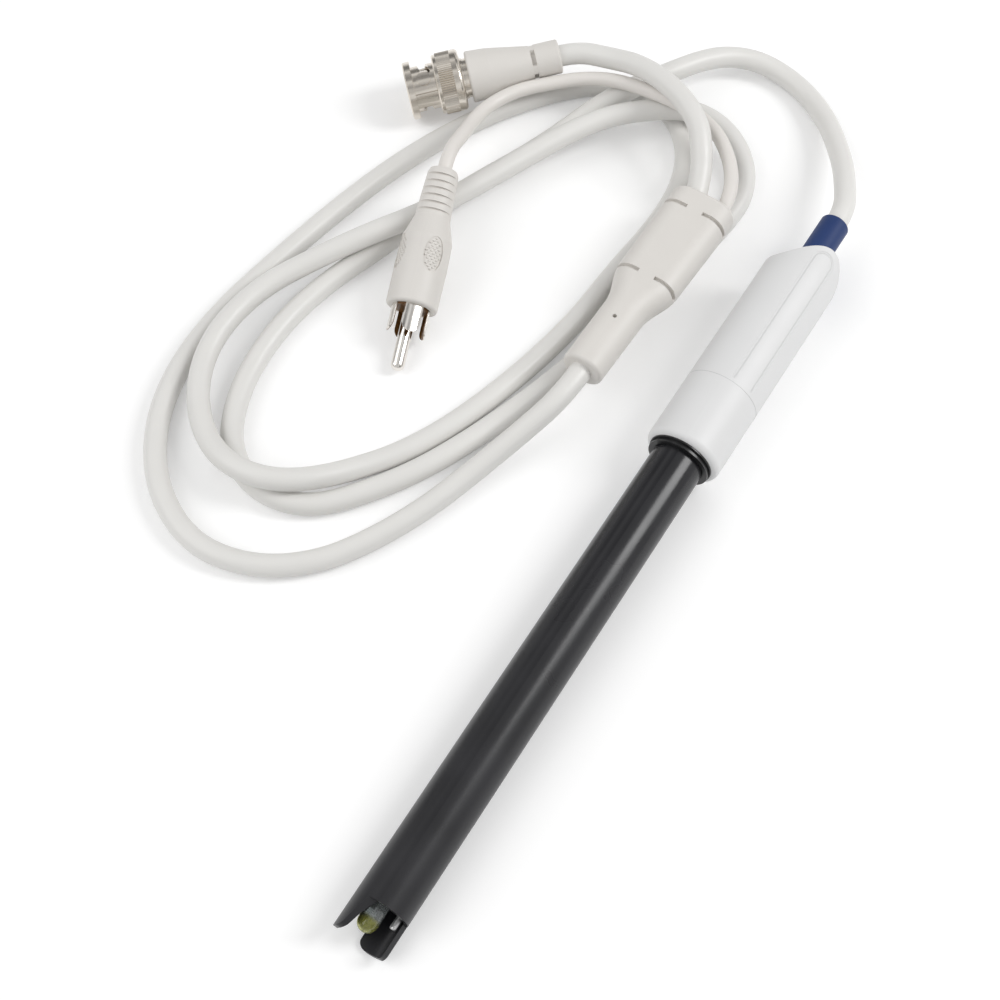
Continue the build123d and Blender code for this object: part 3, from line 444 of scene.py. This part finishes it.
def mesh_piece(name, points, faces, look, smooth=False):
    """A mesh that rides on the electrode."""
    mesh = bpy.data.meshes.new(name)
    mesh.from_pydata(points, [], faces)
    mesh.materials.append(look)
    for polygon in mesh.polygons:
        polygon.use_smooth = smooth
    piece = bpy.data.objects.new(name, mesh)
    scene.collection.objects.link(piece)
    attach(piece, "electrode")
    return piece


def grip_bumps():
    """Rows of small lozenges on the four pads of the phono plug's grip."""
    pad_middle, pad_half_length, pad_half_width = 22.0, 4.3, 2.3
    pad_floor, bump_top, margin, pads = 5.66, 6.0, 0.35, 4
    first_pad_angle = -31.2
    row_pitch, bump_pitch = 0.62, 1.15
    half_run, half_turn, top_share = 0.36, 0.5, 0.45
    place = turned_frame(phono_back, phono_direction)
    points, faces = [], []
    rows = int(pad_half_length / row_pitch)
    bumps = int(pad_half_width / bump_pitch) + 1
    for pad in range(pads):
        pad_angle = first_pad_angle + 360 * pad / pads
        for row in range(-rows, rows + 1):
            for bump in range(-bumps, bumps + 1):
                run = row * row_pitch
                side = (bump + (row % 2) / 2) * bump_pitch
                reach = (run / (pad_half_length - margin)) ** 2 + (side / (pad_half_width - margin)) ** 2
                if reach > 1:
                    continue
                first = len(points)
                for radius, share in ((pad_floor, 1.0), (bump_top, top_share)):
                    for step_run, step_side in ((1, 0), (0, 1), (-1, 0), (0, -1)):
                        arc = side + step_side * half_turn * share
                        angle = pad_angle + math.degrees(arc / pad_floor)
                        height = pad_middle + run + step_run * half_run * share
                        points.append(place @ ring_place(radius, angle, height))
                for corner in range(4):
                    after = (corner + 1) % 4
                    faces.append((first + corner, first + after, first + 4 + after, first + 4 + corner))
                faces.append(tuple(first + 4 + corner for corner in range(4)))
                faces.append(tuple(first + 3 - corner for corner in range(4)))
    return mesh_piece("grip_bumps", points, faces, looks["cream_plastic"])


def inner_buffer():
    """The buffer in the blown end of the glass."""
    radius, front, back = 1.72, 2.43, 5.0
    stem_offset, stem_angle, hollow = 0.8, -74.0, 0.3
    sides, rings = 40, 10
    middle = ring_place(stem_offset, stem_angle, 0.0)
    place = turned_frame(tip_middle, probe_direction) @ Matrix.Translation(middle)
    outline = []
    for ring in range(1, rings + 1):
        turn = math.pi / 2 * ring / rings
        outline.append((radius * math.sin(turn), front + radius * (1 - math.cos(turn))))
    outline.append((radius, back))
    points = [place @ ring_place(0, 0, front)]
    for across, height in outline:
        points += [place @ ring_place(across, 360 * side / sides, height) for side in range(sides)]
    points.append(place @ ring_place(0, 0, back - hollow))
    faces = []
    for side in range(sides):
        after = (side + 1) % sides
        faces.append((0, 1 + after, 1 + side))
        for ring in range(len(outline) - 1):
            low, high = 1 + ring * sides, 1 + (ring + 1) * sides
            faces.append((low + side, low + after, high + after, high + side))
        last = 1 + (len(outline) - 1) * sides
        faces.append((last + side, last + after, len(points) - 1))
    return mesh_piece("inner_buffer", points, faces, looks["buffer"], smooth=True)


def turned_piece(name, rings, node_name, look):
    """A closed skin about the probe's axis, in place of a CAD node, from rings of radius and height."""
    sides, crease_angle = 180, 40
    place = turned_frame(tip_middle, probe_direction)
    points, faces = [], []
    for radius, height in rings:
        for side in range(sides):
            angle = 360 * side / sides
            level = height(radius, angle) if callable(height) else height
            points.append(place @ ring_place(radius, angle, level))
    for ring in range(len(rings)):
        low, high = ring * sides, (ring + 1) % len(rings) * sides
        for side in range(sides):
            after = (side + 1) % sides
            faces.append((low + side, low + after, high + after, high + side))
    piece = mesh_piece(name, points, faces, look, smooth=True)
    piece.data.set_sharp_from_angle(angle=math.radians(crease_angle))
    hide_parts(node_name)
    return piece


def head_end():
    """The head's rear moulding with its slanted end, fitted to the photograph."""
    front, low_end, end_angle, radius = seam_distance, 177.4, 32.0, head_radius
    rise, rise_start, rise_power, rim = 8.4, 0.1, 2.17, 1.0
    bore, relief_hole, cavity_end, steps = 7.15, 3.5, 168.0, 8

    def end_height(across, angle):
        """The slanted end's height at a place on it."""
        share = across / radius * math.cos(math.radians(angle - end_angle))
        return low_end + rise * max(share - rise_start, 0.0) ** rise_power

    def rounded(step):
        """A ring of the rim's rounding."""
        turn = math.pi / 2 * step
        inset, drop = rim * (1 - math.cos(turn)), rim * (1 - math.sin(turn))
        return radius - inset, lambda across, angle: end_height(across, angle) - drop

    rings = [(radius, front), (radius, (front + low_end) / 2), (radius, low_end - 3 * rim)]
    rings += [rounded(step / steps) for step in range(steps + 1)]
    face_width = radius - rim - relief_hole
    rings += [(radius - rim - face_width * step / steps, end_height) for step in range(1, steps + 1)]
    rings += [(relief_hole, cavity_end), (bore, cavity_end), (bore, front)]
    return turned_piece("head_end", rings, "head_body", looks["field_plastic"])


def relief_sleeve():
    """The strain relief, whose end is set back to where the photograph shows it."""
    radius, rim, bore, back = 3.45, 0.4, 2.0, 170.0
    flange_radius, flange_front, flange_back, steps = 5.5, 165.0, 167.98, 8
    end = shown_relief_length
    rings = [(flange_radius, flange_front), (flange_radius, flange_back)]
    rings += [(radius, flange_back), (radius, back)]
    for step in range(steps + 1):
        turn = math.pi / 2 * step / steps
        rings.append((radius - rim * (1 - math.cos(turn)), end - rim * (1 - math.sin(turn))))
    rings += [(bore, end), (bore, flange_front)]
    return turned_piece("relief_sleeve", rings, "strain_relief", looks["navy_plastic"])


def seam_line():
    """The fine joint line between the head's two mouldings, which stands a little proud."""
    line_radius, sunk_share = 0.07, 1 / 3
    around, rim = 120, 8
    place = turned_frame(tip_middle, probe_direction)
    points, faces = [], []
    for step in range(around):
        for turn in range(rim):
            tilt = 2 * math.pi * turn / rim
            radius = head_radius + line_radius * (math.cos(tilt) - sunk_share)
            height = seam_distance + line_radius * math.sin(tilt)
            points.append(place @ ring_place(radius, 360 * step / around, height))
            after, next_turn = (step + 1) % around, (turn + 1) % rim
            low, high = step * rim, after * rim
            faces.append((low + turn, high + turn, high + next_turn, low + next_turn))
    return mesh_piece("seam_line", points, faces, looks["seam"], smooth=True)


def pressed_spring():
    """The bowed spring, which only gets a mesh of its own here."""
    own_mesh(nodes["wave_spring"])


pressed_spring()
grip_bumps()
inner_buffer()
head_end()
relief_sleeve()
seam_line()


# Camera
camera_data = bpy.data.cameras.new("camera")
camera_data.sensor_width = 36.0
camera_data.lens = 61.2
camera_data.clip_start = 0.01
camera_data.clip_end = 20.0
camera = bpy.data.objects.new("camera", camera_data)
camera.location = (-0.1521, -0.0648, 0.3269)
aim = Vector((-0.002, 0.02998, 0.0)) - camera.location
camera.rotation_euler = aim.to_track_quat("-Z", "Y").to_euler()
scene.collection.objects.link(camera)
scene.camera = camera


# Lamps and world
middle = Vector((0.02, 0.035, 0.0))


def lamp(name, direction, distance, width, height, watts):
    """A soft area lamp that points at the middle of the object."""
    data = bpy.data.lights.new(name, "AREA")
    data.shape = "RECTANGLE"
    data.size = width
    data.size_y = height
    data.energy = watts
    made = bpy.data.objects.new(name, data)
    made.location = middle + Vector(direction).normalized() * distance
    made.rotation_euler = (middle - made.location).to_track_quat("-Z", "Y").to_euler()
    scene.collection.objects.link(made)


lamp("key_lamp", direction=(0.42, -0.60, 0.68), distance=1.0, width=0.3, height=0.5, watts=4.2)
lamp("fill_lamp", direction=(-0.55, 0.60, 0.75), distance=1.2, width=1.0, height=1.0, watts=4.8)


def background_rays(tree):
    """One where the camera, a reflection or clear glass looks, and the path that tells them apart."""
    path = tree.nodes.new("ShaderNodeLightPath")
    seen = maths(tree, "MAXIMUM", path.outputs["Is Camera Ray"], path.outputs["Is Glossy Ray"])
    return maths(tree, "MAXIMUM", seen, path.outputs["Is Transmission Ray"]), path


world = bpy.data.worlds.new("world")
world.use_nodes = True
scene.world = world
tree = world.node_tree
background = tree.nodes["Background"]
seen, path = background_rays(tree)
surround = tree.nodes.new("ShaderNodeTexCoord").outputs["Generated"]
patch_scale, patch_start, patch_full, dark_patch, bright_patch = 2.4, 0.42, 0.58, 0.18, 0.85
cloud = noise(tree, surround, patch_scale, 1.0)
patches = spread(tree, cloud, patch_start, patch_full, dark_patch, bright_patch)
dimming = maths(tree, "MULTIPLY", path.outputs["Is Glossy Ray"], maths(tree, "SUBTRACT", 1.0, patches))
glossy = maths(tree, "SUBTRACT", 1.0, dimming)
light_on_object, shown_background = 0.55, 1.0
strength = spread(tree, seen, 0.0, 1.0, light_on_object, shown_background)
tree.links.new(maths(tree, "MULTIPLY", strength, glossy), background.inputs["Strength"])
background.inputs["Color"].default_value = (1.0, 1.0, 1.0, 1.0)


# Floor
def floor_material():
    """A pale matt floor that the camera sees as white where no shadow falls."""
    shown_glow, tone_scale = 0.22, 2.0
    grey, pale = (0.84, 0.84, 0.84), (0.86, 0.86, 0.86)
    made, tree, shader, place = started("floor")
    tone = varied(tree, noise(tree, place, tone_scale))
    tree.links.new(blended(tree, tone, grey, pale), shader.inputs["Base Color"])
    shader.inputs["Roughness"].default_value = 0.9
    shader.inputs["Specular IOR Level"].default_value = 0.1
    seen = background_rays(tree)[0]
    shader.inputs["Emission Color"].default_value = (1.0, 1.0, 1.0, 1.0)
    tree.links.new(maths(tree, "MULTIPLY", seen, shown_glow), shader.inputs["Emission Strength"])
    return made


floor_size = 0.9
floor_drop = 0.02
floor_mesh = bpy.data.meshes.new("floor")
corners = [(x * floor_size, y * floor_size, 0.0) for x, y in ((-1, -1), (1, -1), (1, 1), (-1, 1))]
floor_mesh.from_pydata(corners, [], [(0, 1, 2, 3)])
floor_mesh.materials.append(floor_material())
floor = bpy.data.objects.new("floor", floor_mesh)
floor.location.z = cad_box[0].z - floor_drop * MM
scene.collection.objects.link(floor)
